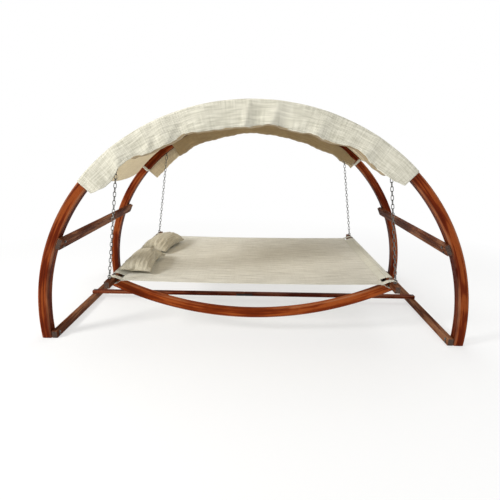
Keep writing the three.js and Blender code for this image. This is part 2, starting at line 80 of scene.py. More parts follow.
def make(tree, kind, inputs=None, **settings):
    """Adds a node. An input is given as a value or as the socket that feeds it."""
    node = tree.nodes.new(kind)
    for key, value in settings.items():
        setattr(node, key, value)
    for key, value in (inputs or {}).items():
        if isinstance(value, bpy.types.NodeSocket):
            tree.links.new(value, node.inputs[key])
        else:
            node.inputs[key].default_value = value
    return node


def map_range(tree, value, low, high, to_low, to_high):
    inputs = {0: value, 1: low, 2: high, 3: to_low, 4: to_high}
    return make(tree, "ShaderNodeMapRange", inputs).outputs[0]


def new_material(name, roughness=0.5, metallic=0.0):
    material = bpy.data.materials.new(name)
    material.use_nodes = True
    tree = material.node_tree
    shader = tree.nodes["Principled BSDF"]
    shader.inputs["Roughness"].default_value = roughness
    shader.inputs["Metallic"].default_value = metallic
    return material, tree, shader


# ---------------------------------------------------------------- camera, floor and light


def add_object(name, data):
    obj = bpy.data.objects.new(name, data)
    bpy.context.scene.collection.objects.link(obj)
    return obj


def add_camera():
    place = Vector((0.037, -3.409, 1.445))
    pitch, yaw, roll = radians(15.57), radians(-1.083), radians(0.603)
    forward = Vector((sin(yaw) * cos(pitch), cos(yaw) * cos(pitch), -sin(pitch)))
    right = Vector((cos(yaw), -sin(yaw), 0))
    up = right.cross(forward)
    level = Matrix((right, up, -forward)).transposed()
    data = bpy.data.cameras.new("camera")
    data.sensor_width = 36
    data.lens = 28.17
    camera = add_object("camera", data)
    camera.matrix_world = Matrix.Translation(place) @ (level @ Matrix.Rotation(roll, 3, "Z")).to_4x4()
    bpy.context.scene.camera = camera


def add_area_light(name, place, target, size, power, colour=(1, 1, 1)):
    data = bpy.data.lights.new(name, "AREA")
    data.size = size
    data.energy = power
    data.color = colour
    light = add_object(name, data)
    light.location = place
    light.rotation_euler = (Vector(target) - Vector(place)).to_track_quat("-Z", "Y").to_euler()


def add_world():
    """White behind the object, and a dimmer sky for light and reflections."""
    world = bpy.data.worlds.new("studio")
    world.use_nodes = True
    tree = world.node_tree
    tree.nodes.clear()
    direction = make(tree, "ShaderNodeTexCoord").outputs["Generated"]
    height = make(tree, "ShaderNodeSeparateXYZ", {0: direction}).outputs["Z"]
    ambient = map_range(tree, height, -0.2, 0.6, 0.20, 0.46)
    seen = make(tree, "ShaderNodeLightPath").outputs["Is Camera Ray"]
    strength = make(tree, "ShaderNodeMix", {0: seen, 2: ambient, 3: 1.0}).outputs[0]
    back = make(tree, "ShaderNodeBackground", {"Color": (1, 1, 1, 1), "Strength": strength})
    out = make(tree, "ShaderNodeOutputWorld")
    tree.links.new(back.outputs[0], out.inputs[0])
    bpy.context.scene.world = world


def floor_material():
    """Pale and slightly shaded near the object, plain white further out."""
    material, tree, shader = new_material("floor", 0.9)
    shader.inputs["Base Color"].default_value = (0.9, 0.9, 0.89, 1)
    place = make(tree, "ShaderNodeTexCoord").outputs["Object"]
    distance = make(tree, "ShaderNodeVectorMath", {0: place}, operation="LENGTH").outputs["Value"]
    white = map_range(tree, distance, 1.6, 4.2, 0.55, 1.0)
    glow = make(tree, "ShaderNodeEmission", {"Strength": 1.0})
    mixed = make(tree, "ShaderNodeMixShader", {0: white})
    tree.links.new(shader.outputs[0], mixed.inputs[1])
    tree.links.new(glow.outputs[0], mixed.inputs[2])
    tree.links.new(mixed.outputs[0], tree.nodes["Material Output"].inputs[0])
    return material


def add_stage():
    mesh = bpy.data.meshes.new("floor")
    mesh.from_pydata([(-60, -60, 0), (60, -60, 0), (60, 60, 0), (-60, 60, 0)], [], [(0, 1, 2, 3)])
    mesh.materials.append(floor_material())
    floor = add_object("floor", mesh)
    floor.location.z = -0.001
    add_world()
    add_area_light("key", (-5.4, -3.3, 3.6), (0, -0.3, 0.9), 1.3, 330, (1.0, 0.99, 0.97))
    add_area_light("fill", (3.6, -5.2, 2.4), (0, 0, 0.8), 3.0, 55, (0.98, 0.99, 1.0))
    add_area_light("top", (0.5, 0.8, 5.5), (0, 0, 0), 4.0, 120)
    add_area_light("rear", (1.5, 5.5, 3.5), (0, 0, 0.8), 3.5, 60)
    bpy.context.scene.view_settings.view_transform = "Standard"


add_camera()
add_stage()

# ---------------------------------------------------------------- materials


def attribute(tree, name):
    return make(tree, "ShaderNodeAttribute", attribute_name=name)


def scaled(tree, vector, scale):
    return make(tree, "ShaderNodeVectorMath", {0: vector, 1: scale}, operation="MULTIPLY").outputs[0]


def noise_value(tree, vector, scale, detail=2.0, roughness=0.5, distortion=0.0):
    inputs = {
        "Vector": scaled(tree, vector, scale),
        "Scale": 1.0,
        "Detail": detail,
        "Roughness": roughness,
        "Distortion": distortion,
    }
    return make(tree, "ShaderNodeTexNoise", inputs).outputs["Fac"]


def maths(tree, operation, a, b=0.0, c=0.0, clamp=False):
    node = make(tree, "ShaderNodeMath", {0: a, 1: b, 2: c}, operation=operation)
    node.use_clamp = clamp
    return node.outputs[0]


def times(tree, a, b, clamp=False):
    return maths(tree, "MULTIPLY", a, b, clamp=clamp)


def times_plus(tree, a, b, c, clamp=False):
    return maths(tree, "MULTIPLY_ADD", a, b, c, clamp)


def ramp(tree, value, stops):
    node = make(tree, "ShaderNodeValToRGB", {"Fac": value})
    elements = node.color_ramp.elements
    while len(elements) < len(stops):
        elements.new(0.5)
    for element, (position, colour) in zip(elements, stops):
        element.position = position
        element.color = (*colour, 1)
    return node.outputs["Color"]


def mix_colour(tree, factor, a, b, blend="MIX"):
    node = make(tree, "ShaderNodeMix", {0: factor}, data_type="RGBA", blend_type=blend)
    for socket, value in ((node.inputs[6], a), (node.inputs[7], b)):
        if isinstance(value, bpy.types.NodeSocket):
            tree.links.new(value, socket)
        else:
            socket.default_value = (*value, 1)
    return node.outputs[2]


def set_bump(tree, shader, height, strength, distance):
    bump = make(tree, "ShaderNodeBump", {"Height": height, "Strength": strength, "Distance": distance})
    tree.links.new(bump.outputs[0], shader.inputs["Normal"])


def timber_material(name, dark, mid, light, strip=0.0, roughness=0.5, worn=(0.35, 0.17, 0.09)):
    """Stained timber, its grain along the grain attribute's first part. strip is a glued layer's height."""
    material, tree, shader = new_material(name)
    grain = attribute(tree, "grain").outputs["Vector"]
    edge = attribute(tree, "edge").outputs["Fac"]
    broad = noise_value(tree, grain, (0.9, 17, 17), 2.0, 0.5, 0.4)
    rings = times_plus(tree, maths(tree, "SINE", times(tree, broad, 38.0)), 0.5, 0.5)
    fibre = noise_value(tree, grain, (7, 520, 520), 3.0, 0.6)
    streak = noise_value(tree, grain, (1.6, 95, 95), 3.0, 0.6)
    band = noise_value(tree, grain, (0.8, 38, 38), 2.0, 0.5)
    blotch = noise_value(tree, grain, (2.6, 8, 8), 3.0, 0.55)
    tone = times(tree, rings, 0.14)
    for part, share in ((fibre, 0.16), (streak, 0.34), (band, 0.32), (blotch, 0.90)):
        tone = times_plus(tree, part, share, tone)
    height = times_plus(tree, fibre, 0.6, times(tree, rings, 0.3))
    glue = None
    if strip:
        across = make(tree, "ShaderNodeSeparateXYZ", {0: grain}).outputs["Z"]
        layer = maths(tree, "DIVIDE", across, strip)
        index = maths(tree, "FLOOR", layer)
        chance = make(tree, "ShaderNodeTexWhiteNoise", {"W": index}, noise_dimensions="1D")
        tone = times_plus(tree, chance.outputs["Value"], 0.10, maths(tree, "SUBTRACT", tone, 0.05))
        glue = maths(tree, "LESS_THAN", maths(tree, "FRACT", layer), 0.035)
        height = maths(tree, "SUBTRACT", height, times(tree, glue, 1.5))
    colour = ramp(tree, tone, [(0.62, dark), (0.90, mid), (1.22, light)])
    if glue:
        colour = mix_colour(tree, times(tree, glue, 0.55), colour, tuple(0.4 * c for c in dark))
    pores = maths(tree, "GREATER_THAN", noise_value(tree, grain, (26, 900, 900), 1.0), 0.655)
    colour = mix_colour(tree, times(tree, pores, 0.5), colour, tuple(0.35 * c for c in dark))
    rub = times(tree, edge, maths(tree, "SUBTRACT", blotch, 0.40, clamp=True))
    colour = mix_colour(tree, times(tree, rub, 2.0, clamp=True), colour, worn)
    tree.links.new(colour, shader.inputs["Base Color"])
    tree.links.new(times_plus(tree, streak, 0.24, roughness - 0.12), shader.inputs["Roughness"])
    set_bump(tree, shader, maths(tree, "SUBTRACT", height, pores), 0.35, 0.0006)
    shader.inputs["Specular IOR Level"].default_value = 0.04
    return material


def end_grain_material(name, dark, light):
    material, tree, shader = new_material(name, 0.75)
    grain = attribute(tree, "grain").outputs["Vector"]
    spread = noise_value(tree, grain, (1, 26, 26), 2.0)
    rings = maths(tree, "SINE", times(tree, spread, 60.0))
    specks = noise_value(tree, grain, (1, 900, 900), 2.0)
    tone = times_plus(tree, rings, 0.25, times(tree, specks, 1.0))
    tree.links.new(ramp(tree, tone, [(0.2, dark), (0.8, light)]), shader.inputs["Base Color"])
    set_bump(tree, shader, specks, 0.3, 0.0005)
    return material


def zinc_material(name, colour, roughness):
    material, tree, shader = new_material(name, roughness, 1.0)
    place = make(tree, "ShaderNodeTexCoord").outputs["Object"]
    cloud = noise_value(tree, place, (90, 90, 90), 3.0, 0.6)
    fine = noise_value(tree, place, (900, 900, 900), 2.0)
    stops = [(0.3, tuple(0.62 * c for c in colour)), (0.7, colour)]
    tree.links.new(ramp(tree, cloud, stops), shader.inputs["Base Color"])
    tree.links.new(times_plus(tree, cloud, 0.3, roughness - 0.12), shader.inputs["Roughness"])
    set_bump(tree, shader, fine, 0.12, 0.0002)
    return material


def weave_material(name, light, dark, period, slub, contrast, cross=0.15, checks=0.13):
    """Woven cloth. The weave attribute holds metres along the cloth, across it, and from the nearest seam.

    contrast is that of the slubs along the cloth, cross the share of it across, and checks that of the weave.
    """
    material, tree, shader = new_material(name, 0.9)
    weave = attribute(tree, "weave").outputs["Vector"]
    split = make(tree, "ShaderNodeSeparateXYZ", {0: weave})
    turn = 2 * pi / period
    across = [maths(tree, "SINE", times(tree, split.outputs[i], turn)) for i in (0, 1)]
    check = times_plus(tree, times(tree, *across), 1.6, 0.5, clamp=True)
    threads = maths(tree, "MAXIMUM", *(maths(tree, "ABSOLUTE", wave) for wave in across))
    flat = make(tree, "ShaderNodeCombineXYZ", {"X": split.outputs[0], "Y": split.outputs[1]}).outputs[0]
    weft = noise_value(tree, flat, (slub[0], slub[1], 0), 4.0, 0.62)
    warp = noise_value(tree, flat, (slub[1], slub[0], 0), 3.0, 0.6)
    stain = noise_value(tree, flat, (1.7, 1.7, 0), 3.0, 0.5)
    tone = times_plus(tree, check, checks, -0.5 * checks)
    for part, share in ((weft, contrast), (warp, cross * contrast), (stain, 0.30)):
        tone = times_plus(tree, maths(tree, "SUBTRACT", part, 0.5), share, tone)
    colour = ramp(tree, maths(tree, "ADD", tone, 0.5), [(0.22, dark), (0.76, light)])
    seam = maths(tree, "ABSOLUTE", split.outputs[2])
    run = maths(tree, "ADD", split.outputs[0], split.outputs[1])
    dash = maths(tree, "FRACT", times(tree, run, 140))
    stitch = times(tree, maths(tree, "LESS_THAN", seam, 0.0009), maths(tree, "LESS_THAN", dash, 0.64))
    # Near a seam the cloth dips in the bump, and its colour is darkened there: that darkening is painted
    # shade in the seam's crease.
    seam_pucker_and_painted_shade = map_range(tree, seam, 0.0, 0.006, 1.0, 0.0)
    colour = mix_colour(tree, times(tree, seam_pucker_and_painted_shade, 0.28), colour, tuple(0.6 * c for c in dark))
    colour = mix_colour(tree, stitch, colour, tuple(min(1.0, 1.12 * c) for c in light))
    tree.links.new(colour, shader.inputs["Base Color"])
    height = times_plus(tree, check, 0.5, times_plus(tree, weft, 0.8, threads))
    height = times_plus(tree, seam_pucker_and_painted_shade, -2.0, times_plus(tree, stitch, 2.5, height))
    set_bump(tree, shader, height, 0.5, 0.0009)
    shader.inputs["Sheen Weight"].default_value = 0.12
    shader.inputs["Sheen Roughness"].default_value = 0.5
    shader.inputs["Specular IOR Level"].default_value = 0.12
    return material


ARCH_STAIN = timber_material(
    "arch stain", (0.050, 0.005, 0.001), (0.135, 0.017, 0.003), (0.27, 0.058, 0.012), 0.012
)
BEAM_STAIN = timber_material(
    "beam stain", (0.085, 0.010, 0.002), (0.20, 0.030, 0.004), (0.34, 0.075, 0.015), 0.012
)
BOARD_STAIN = timber_material(
    "board stain", (0.030, 0.004, 0.001), (0.085, 0.011, 0.003), (0.19, 0.045, 0.018)
)
STAIN_END = end_grain_material("stained end grain", (0.03, 0.006, 0.002), (0.10, 0.026, 0.009))
BROWN = timber_material(
    "brown timber", (0.040, 0.009, 0.003), (0.105, 0.030, 0.011), (0.22, 0.092, 0.043),
    0.0, 0.6, (0.28, 0.14, 0.075),
)
BROWN_END = end_grain_material("brown end grain", (0.02, 0.008, 0.004), (0.09, 0.045, 0.026))
ZINC = zinc_material("zinc", (0.21, 0.21, 0.20), 0.34)
DARK_STEEL = zinc_material("dark steel", (0.055, 0.045, 0.04), 0.5)
CANOPY_OUT = weave_material(
    "canopy cloth", (0.86, 0.83, 0.71), (0.36, 0.345, 0.26), 0.0115, (7, 105), 0.8, 0.6, 0.22
)
# Painted light: the canopy's underside is coloured a warmer, brighter tan than its outside, standing in for
# light shining through the cloth and warm light bounced up from below.
CANOPY_UNDERSIDE_PAINTED_LIGHT = weave_material(
    "canopy underside painted light", (0.95, 0.83, 0.58), (0.60, 0.48, 0.30), 0.0115, (7, 105), 0.7, 0.5, 0.10
)
# Painted shade: the flaps are the canopy's own cloth, coloured a darker tan for the shade they hang in.
FLAP_CLOTH_PAINTED_SHADE = weave_material(
    "canopy flap painted shade", (0.46, 0.36, 0.215), (0.25, 0.18, 0.10), 0.0115, (7, 105), 0.7, 0.5, 0.10
)
BED = weave_material("bed cloth", (0.92, 0.90, 0.81), (0.50, 0.475, 0.39), 0.006, (4.5, 105), 1.35)
SLEEVE = weave_material("sleeve cloth", (0.80, 0.79, 0.69), (0.52, 0.50, 0.41), 0.006, (3, 110), 0.8)
PILLOW = weave_material("pillow cloth", (0.76, 0.71, 0.57), (0.38, 0.335, 0.235), 0.005, (6, 90), 0.9)

# ---------------------------------------------------------------- mesh helpers


def mesh_object(name, points, faces, body, materials, stands_for, sharp=35):
    mesh = bpy.data.meshes.new(name)
    mesh.from_pydata([tuple(p) for p in points], [], faces)
    for material in materials:
        mesh.materials.append(material)
    mesh.polygons.foreach_set("use_smooth", [True] * len(mesh.polygons))
    mesh.set_sharp_from_angle(angle=radians(sharp))
    obj = add_object(name, mesh)
    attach(obj, body)
    if stands_for:
        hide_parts(*stands_for)
    return obj


def set_attribute(obj, name, values):
    """values has a number, or a triple of numbers, for each vertex."""
    array = np.asarray(values, dtype=np.float32)
    kind, key = ("FLOAT", "value") if array.ndim == 1 else ("FLOAT_VECTOR", "vector")
    layer = obj.data.attributes.new(name, kind, "POINT")
    layer.data.foreach_set(key, array.ravel())


def thicken(obj, thickness, inner_slot=0, offset=0.0):
    modifier = obj.modifiers.new("thickness", "SOLIDIFY")
    modifier.thickness = thickness
    modifier.offset = offset
    modifier.material_offset = inner_slot
    modifier.material_offset_rim = 0


def shift(x, y, z):
    return Matrix.Translation((x, y, z))


def spin(angle, axis):
    return Matrix.Rotation(angle, 4, axis)


class Build:
    """Collects points and faces of several shapes, so that they become one mesh."""

    def __init__(self):
        self.points = []
        self.faces = []

    def add(self, points, faces, matrix=None):
        start = len(self.points)
        self.points += [matrix @ Vector(p) if matrix else Vector(p) for p in points]
        self.faces += [tuple(i + start for i in face) for face in faces]


def ring_faces(rings, count, closed=False, caps=True):
    """Quads between rings of count points each, with flat caps at both ends unless it closes on itself."""
    faces = []
    last = rings if closed else rings - 1
    for i in range(last):
        j = (i + 1) % rings
        for k in range(count):
            m = (k + 1) % count
            faces.append((i * count + k, i * count + m, j * count + m, j * count + k))
    if caps and not closed:
        faces.append(tuple(reversed(range(count))))
        faces.append(tuple(range((rings - 1) * count, rings * count)))
    return faces


def tube(path, radius, sides=10, closed=False, plane=Vector((0, 1, 0))):
    """A round tube along points in one plane. plane is that plane's normal."""
    count = len(path)
    points = []
    for i, p in enumerate(path):
        before = path[(i - 1) % count] if closed or i > 0 else p
        after = path[(i + 1) % count] if closed or i < count - 1 else p
        along = (after - before).normalized()
        across = plane.cross(along)
        for k in range(sides):
            turn = 2 * pi * k / sides
            points.append(p + radius * (cos(turn) * across + sin(turn) * plane))
    return points, ring_faces(count, sides, closed)


def lathe(profile, sides=24):
    """Turns [(radius, z), ...] round Z. A profile that starts and ends on the axis closes."""
    points = []
    for radius, z in profile:
        for k in range(sides):
            turn = 2 * pi * k / sides
            points.append((radius * cos(turn), radius * sin(turn), z))
    return points, ring_faces(len(profile), sides)


def prism_profile(sides, radius, low, high, chamfer):
    """A nut or bolt head: a prism with its corners turned down at both ends."""
    flat = radius * cos(pi / sides)
    return [(flat * 0.98, low), (radius, low + chamfer), (radius, high - chamfer), (flat * 0.98, high)]


# ---------------------------------------------------------------- timber


def rounded_section(width, height, radius, steps=4, shoulder=0.006):
    """Points round a rectangle with round corners, each with 1 on a corner's arc and 0 on the flats."""
    points = []
    for quarter in range(4):
        turn = quarter * pi / 2
        sx, sy = ((1, 1), (-1, 1), (-1, -1), (1, -1))[quarter]
        cx, cy = sx * (width / 2 - radius), sy * (height / 2 - radius)
        arc = []
        for i in range(steps + 1):
            a = turn + i * pi / 2 / steps
            arc.append((cx + radius * cos(a), cy + radius * sin(a), 1.0))
        first, last = arc[0], arc[-1]
        before = (first[0] + shoulder * sin(turn), first[1] - shoulder * cos(turn), 0.0)
        after_turn = turn + pi / 2
        after = (last[0] - shoulder * sin(after_turn), last[1] + shoulder * cos(after_turn), 0.0)
        points += [before, *arc, after]
    return points


def timber(name, node, body, place, length, section, radius, materials, steps, slot, seed):
    """A bar along s from 0 to length. place(s, a, b) gives the point of section point (a, b) at s."""
    width, height = section
    outline = rounded_section(width, height, radius)
    ease = 0.003
    along = np.linspace(ease, length - ease, steps + 1)
    stations = [(0, ease), *((s, 0.0) for s in along), (length, ease)]
    points, grain, edge = [], [], []
    for s, inset in stations:
        for a, b, corner in outline:
            a1 = a * (1 - 2 * inset / width)
            b1 = b * (1 - 2 * inset / height)
            points.append(place(s, a1, b1))
            grain.append((s + 3.7 * seed, a1 + 0.9 * seed, b1))
            edge.append(max(corner, 1.0 if inset else 0.0))
    faces = ring_faces(len(stations), len(outline))
    obj = mesh_object(name, points, faces, body, materials, (node,))
    set_attribute(obj, "grain", grain)
    set_attribute(obj, "edge", edge)
    for polygon in list(obj.data.polygons)[-2:]:
        polygon.material_index = 1
    return obj


def arch_point(angle, radius, y):
    return Vector((radius * sin(angle), y, ARCH_Z + radius * cos(angle)))


def add_arches():
    middle = (ARCH_INNER + ARCH_OUTER) / 2
    section = (ARCH_THICK, ARCH_OUTER - ARCH_INNER)
    slit = radians(0.012)
    for plane, y_sign in PLANES.items():
        y = y_sign * ARCH_Y
        length = 2 * (SPLICE - slit) * middle

        def crown(s, a, b, y=y):
            return arch_point(s / middle - SPLICE + slit, middle + b, y - a)

        timber(
            f"{plane}_crown_timber", f"{plane}_arch_crown", "stand", crown, length, section, 0.009,
            (ARCH_STAIN, STAIN_END), 60, "stained_timber", 1 + y_sign,
        )
        for side, x_sign in SIDES.items():
            length = (FOOT - SPLICE) * middle

            def leg(s, a, b, y=y, x_sign=x_sign, length=length):
                radius = middle + b
                foot = acos(-ARCH_Z / radius)
                start = SPLICE + slit
                angle = start + (foot - start) * s / length
                return arch_point(x_sign * angle, radius, y + x_sign * -a)

            timber(
                f"{plane}_{side}_leg_timber", f"{plane}_arch_{side}_leg", "stand", leg, length, section,
                0.009, (ARCH_STAIN, STAIN_END), 80, "stained_timber", 4 + y_sign + 2 * x_sign,
            )


def add_crossbars():
    for side, x_sign in SIDES.items():
        width, depth, length = MID_BAR
        radius = ARCH_INNER - MID_BAR_GAP - depth / 2
        out = Vector((x_sign * sin(MID_ANGLE), 0, cos(MID_ANGLE)))
        along = Vector((out.z, 0, -out.x))
        centre = Vector((0, 0, ARCH_Z)) + radius * out

        def mid(s, a, b, centre=centre, out=out, along=along, length=length):
            return centre + Vector((0, s - length / 2, 0)) - a * along + b * out

        timber(
            f"{side}_mid_bar_timber", f"{side}_mid_crossbar", "stand", mid, length, (width, depth), 0.006,
            (BROWN, BROWN_END), 24, "brown_timber", 11 + x_sign,
        )
        width, height, length = FLOOR_BAR
        centre = Vector((x_sign * FLOOR_BAR_X, 0, height / 2))

        def floor(s, a, b, centre=centre, length=length):
            return centre + Vector((-a, s - length / 2, b))

        timber(
            f"{side}_floor_bar_timber", f"{side}_floor_crossbar", "stand", floor, length, (width, height),
            0.006, (BROWN, BROWN_END), 24, "brown_timber", 15 + x_sign,
        )


def add_stretcher():
    gap = 0.0003
    for side, x_sign in SIDES.items():
        start = STRETCHER_JOINT + x_sign * gap / 2
        length = abs(x_sign * STRETCHER_REACH - start)

        def board(s, a, b, start=start, x_sign=x_sign):
            return Vector((start + x_sign * s, x_sign * a, STRETCHER_Z + b))

        timber(
            f"{side}_stretcher_timber", f"{side}_stretcher", "stand", board, length, STRETCHER, 0.004,
            (BOARD_STAIN, STAIN_END), 24, "stained_timber", 21 + x_sign,
        )


def add_bed_timber():
    for side, x_sign in SIDES.items():
        width, height, length = END_BAR
        centre = Vector((x_sign * END_BAR_X, 0, END_BAR_TOP - height / 2))

        def end_bar(s, a, b, centre=centre, length=length):
            return centre + Vector((-a, s - length / 2, b))

        timber(
            f"{side}_end_bar_timber", f"{side}_end_bar", "bed", end_bar, length, (width, height), 0.005,
            (BROWN, BROWN_END), 24, "brown_timber", 25 + x_sign,
        )
    middle = BEAM_OUTER - BEAM_DEPTH / 2
    reach = asin(BEAM_REACH / middle)
    notch_x, notch_z = END_BAR_X - END_BAR[0] / 2 - 0.0008, END_BAR_TOP - END_BAR[1] - 0.0006
    for plane, y_sign in PLANES.items():
        length = 2 * reach * middle

        def beam(s, a, b, y=y_sign * BEAM_Y):
            angle = s / middle - reach
            radius = middle - b
            x = max(-BEAM_REACH, min(BEAM_REACH, radius * sin(angle)))
            z = BEAM_CENTRE_Z - radius * cos(angle)
            return Vector((x, y + a, min(z, notch_z) if abs(x) > notch_x else z))

        timber(
            f"{plane}_beam_timber", f"{plane}_spreader_beam", "bed", beam, length, (BEAM_THICK, BEAM_DEPTH),
            0.006, (BEAM_STAIN, STAIN_END), 200, "stained_timber", 31 + y_sign,
        )


add_arches()
add_crossbars()
add_stretcher()
add_bed_timber()

# ---------------------------------------------------------------- metalwork


def hex_head(radius, low, high):
    return lathe(prism_profile(6, radius, low, high, 0.0008), 6)


def washer(radius, low, high):
    return lathe([(0.002, low), (radius - 0.0004, low), (radius, low + 0.0004), (radius, high - 0.0004),
                  (radius - 0.0004, high), (0.002, high)])


def dome(radius, low, height):
    profile = [(radius * 0.97, low)]
    profile += [(radius * cos(a), low + height * (0.15 + 0.85 * sin(a))) for a in np.linspace(0, 1.35, 7)]
    return lathe(profile)


def rod(low, high):
    return lathe([(SHANK_R * 0.8, low), (SHANK_R, low + 0.0006), (SHANK_R, high)], 14)


def threaded_rod(radius, low, high, pitch=0.0013):
    turns = max(2, int((high - low) / pitch))
    profile = [(radius * 0.8, low)]
    for i in range(turns):
        z = low + (i + 0.25) * (high - low) / turns
        profile += [(radius, z), (radius * 0.88, z + 0.5 * (high - low) / turns)]
    profile.append((radius * 0.8, high))
    return lathe(profile, 14)


def metal_piece(node, build, matrix, body):
    points = [matrix @ p for p in build.points]
    mesh_object(f"{node}_steel", points, build.faces, body, (ZINC,), (node,), 40)


def stadium(half_width, top, bottom, arc=8):
    """A closed loop in X and Z: two half circles of half_width that reach up to top and down to bottom."""
    points = []
    for i in range(arc + 1):
        a = pi * i / arc
        points.append(Vector((half_width * cos(a), 0, top - half_width + half_width * sin(a))))
    for i in range(arc + 1):
        a = pi + pi * i / arc
        points.append(Vector((half_width * cos(a), 0, bottom + half_width + half_width * sin(a))))
    return points


def chain_build(length):
    """Welded links that hang in one another down from z 0, the first and last on the neighbours' wires."""
    build = Build()
    slack = 0.0001
    first, wire = -0.0013, 2 * CHAIN_WIRE
    pitch = (length + 2 * first - wire) / CHAIN_LINKS
    for i in range(CHAIN_LINKS):
        top = first - i * pitch - slack / 2
        bottom = top - pitch - wire + slack
        points, faces = tube(stadium(CHAIN_HALF, top, bottom), CHAIN_WIRE, 8, True)
        build.add(points, faces, spin(pi / 2 * (i % 2), "Z"))
        weld = [Vector((CHAIN_HALF, 0, (top + bottom) / 2 + dz)) for dz in (-0.002, -0.001, 0.001, 0.002)]
        points, faces = tube(weld, CHAIN_WIRE * 1.16, 8)
        build.add(points, faces, spin(pi / 2 * (i % 2), "Z"))
    return build


def quick_link_build():
    build = Build()
    build.add(*tube(stadium(LINK_HALF, 0, -LINK_PITCH), LINK_WIRE, 12, True))
    middle = shift(LINK_HALF, 0, -LINK_PITCH / 2)
    build.add(*hex_head(0.0046, -0.008, 0.008), middle)
    build.add(*threaded_rod(0.0029, -0.0125, 0.0095), middle)
    return build


def eye_bolt_build(shank, timber=None):
    """A ring round the origin and a shank up to z = shank, with washers and a nut on the timber's faces."""
    build = Build()
    circle = [Vector((RING_R * cos(a), 0, RING_R * sin(a))) for a in np.linspace(0, 2 * pi, 28)[:-1]]
    build.add(*tube(circle, RING_WIRE, 10, True))
    build.add(*threaded_rod(SHANK_R, RING_R - 0.001, shank))
    if timber:
        near, far = timber
        build.add(*washer(WASHER_R, near - 0.0018, near - 0.0003))
        build.add(*washer(WASHER_R, far + 0.0003, far + 0.0018))
        build.add(*hex_head(0.0072, far + 0.0018, far + 0.0068))
    return build


def add_hangers():
    pivot_top = TOP_EYE - Vector((0, PIVOT_IN_RING))
    pivot_bottom = BED_EYE + Vector((0, PIVOT_IN_RING))
    whole = (pivot_bottom - pivot_top).length
    splay = atan2(pivot_bottom.x - pivot_top.x, pivot_top.y - pivot_bottom.y)
    hook = 0.0064
    chain = chain_build(whole - 2 * (LINK_PITCH - hook))
    quick = quick_link_build()
    arch_eye = eye_bolt_build(0.085)
    bar_top = BED_EYE.y - END_BAR_TOP
    bed_eye = eye_bolt_build(0.076, (bar_top, bar_top + END_BAR[1]))
    quarter = spin(pi / 2, "Z")
    upside_down = spin(pi, "X")
    for name, x, y in CORNERS:
        hang = shift(x * pivot_top.x, y * ARCH_Y, pivot_top.y) @ spin(-x * splay, "Y")

        def down(distance):
            return hang @ shift(0, 0, -distance)

        top_place = shift(x * TOP_EYE.x, y * ARCH_Y, TOP_EYE.y) @ quarter
        bed_place = shift(x * BED_EYE.x, y * ARCH_Y, BED_EYE.y) @ upside_down
        parts = (
            ("arch_eye_bolt", arch_eye, top_place, "stand"),
            ("top_link", quick, hang, f"{name}_top_link"),
            ("chain", chain, down(LINK_PITCH - hook) @ quarter, f"{name}_chain"),
            ("bottom_link", quick, down(whole - LINK_PITCH) @ quarter, f"{name}_bottom_link"),
            ("bed_eye_bolt", bed_eye, bed_place, "bed"),
        )
        for part, build, matrix, body in parts:
            metal_piece(f"{name}_{part}", build, matrix, body)


def bolt_pair_build(spacing):
    build = Build()
    for x in (-spacing / 2, spacing / 2):
        place = shift(x, 0, 0)
        build.add(*washer(WASHER_R, -0.0023, -0.0003), place)
        build.add(*hex_head(0.0078, -0.0075, -0.0023), place)
        build.add(*rod(0.0, 0.07), place)
    return build


def domed_bolt_build(reach):
    build = Build()
    build.add(*dome(0.011, 0.0003, 0.0045))
    build.add(*rod(-reach, 0.001))
    return build


def add_bolts():
    mid, floor = bolt_pair_build(0.040), bolt_pair_build(0.024)
    beam, stretcher = domed_bolt_build(0.095), domed_bolt_build(0.055)
    beam.add(*washer(0.010, -0.0872, -0.0854))
    beam.add(*hex_head(0.0072, -0.0935, -0.0872))
    for name, x, y in CORNERS:
        at_arch = shift(0, y * ARCH_Y, ARCH_Z) @ spin(x * MID_ANGLE, "Y")
        place = at_arch @ shift(0, 0, ARCH_INNER - MID_BAR_GAP - MID_BAR[1])
        metal_piece(f"{name}_mid_bolts", mid, place, "stand")
        place = shift(x * (FLOOR_BAR_X - FLOOR_BAR[0] / 2), y * ARCH_Y, FLOOR_BAR[1] / 2)
        metal_piece(f"{name}_floor_bolts", floor, place @ spin(x * pi / 2, "Y"), "stand")
        metal_piece(f"{name}_beam_bolt", beam, shift(x * END_BAR_X, y * BEAM_Y, END_BAR_TOP), "bed")
    for side, x in SIDES.items():
        place = shift(x * FLOOR_BAR_X, 0, STRETCHER_Z + STRETCHER[1] / 2)
        metal_piece(f"{side}_stretcher_bolt", stretcher, place, "stand")


def paint_cad_metal():
    for slot in nodes["stretcher_fish_plate"].material_slots:
        slot.link = "OBJECT"
        slot.material = DARK_STEEL


add_hangers()
add_bolts()
paint_cad_metal()

# ---------------------------------------------------------------- bed cloth

CLOTH_HALF = 0.710
CLOTH_THICK = 0.0016
SEAM_X, SEAM_Z, MIDDLE_Z = 0.957, 0.446, 0.432
SLOT_FROM, SLOT_TO, SLOT_INNER = 0.614, 0.666, 0.962


def from_seam(x, z, shares):
    """Points on the way from the seam to (x, z)."""
    return [Vector((SEAM_X + (x - SEAM_X) * t, SEAM_Z + (z - SEAM_Z) * t)) for t in shares]


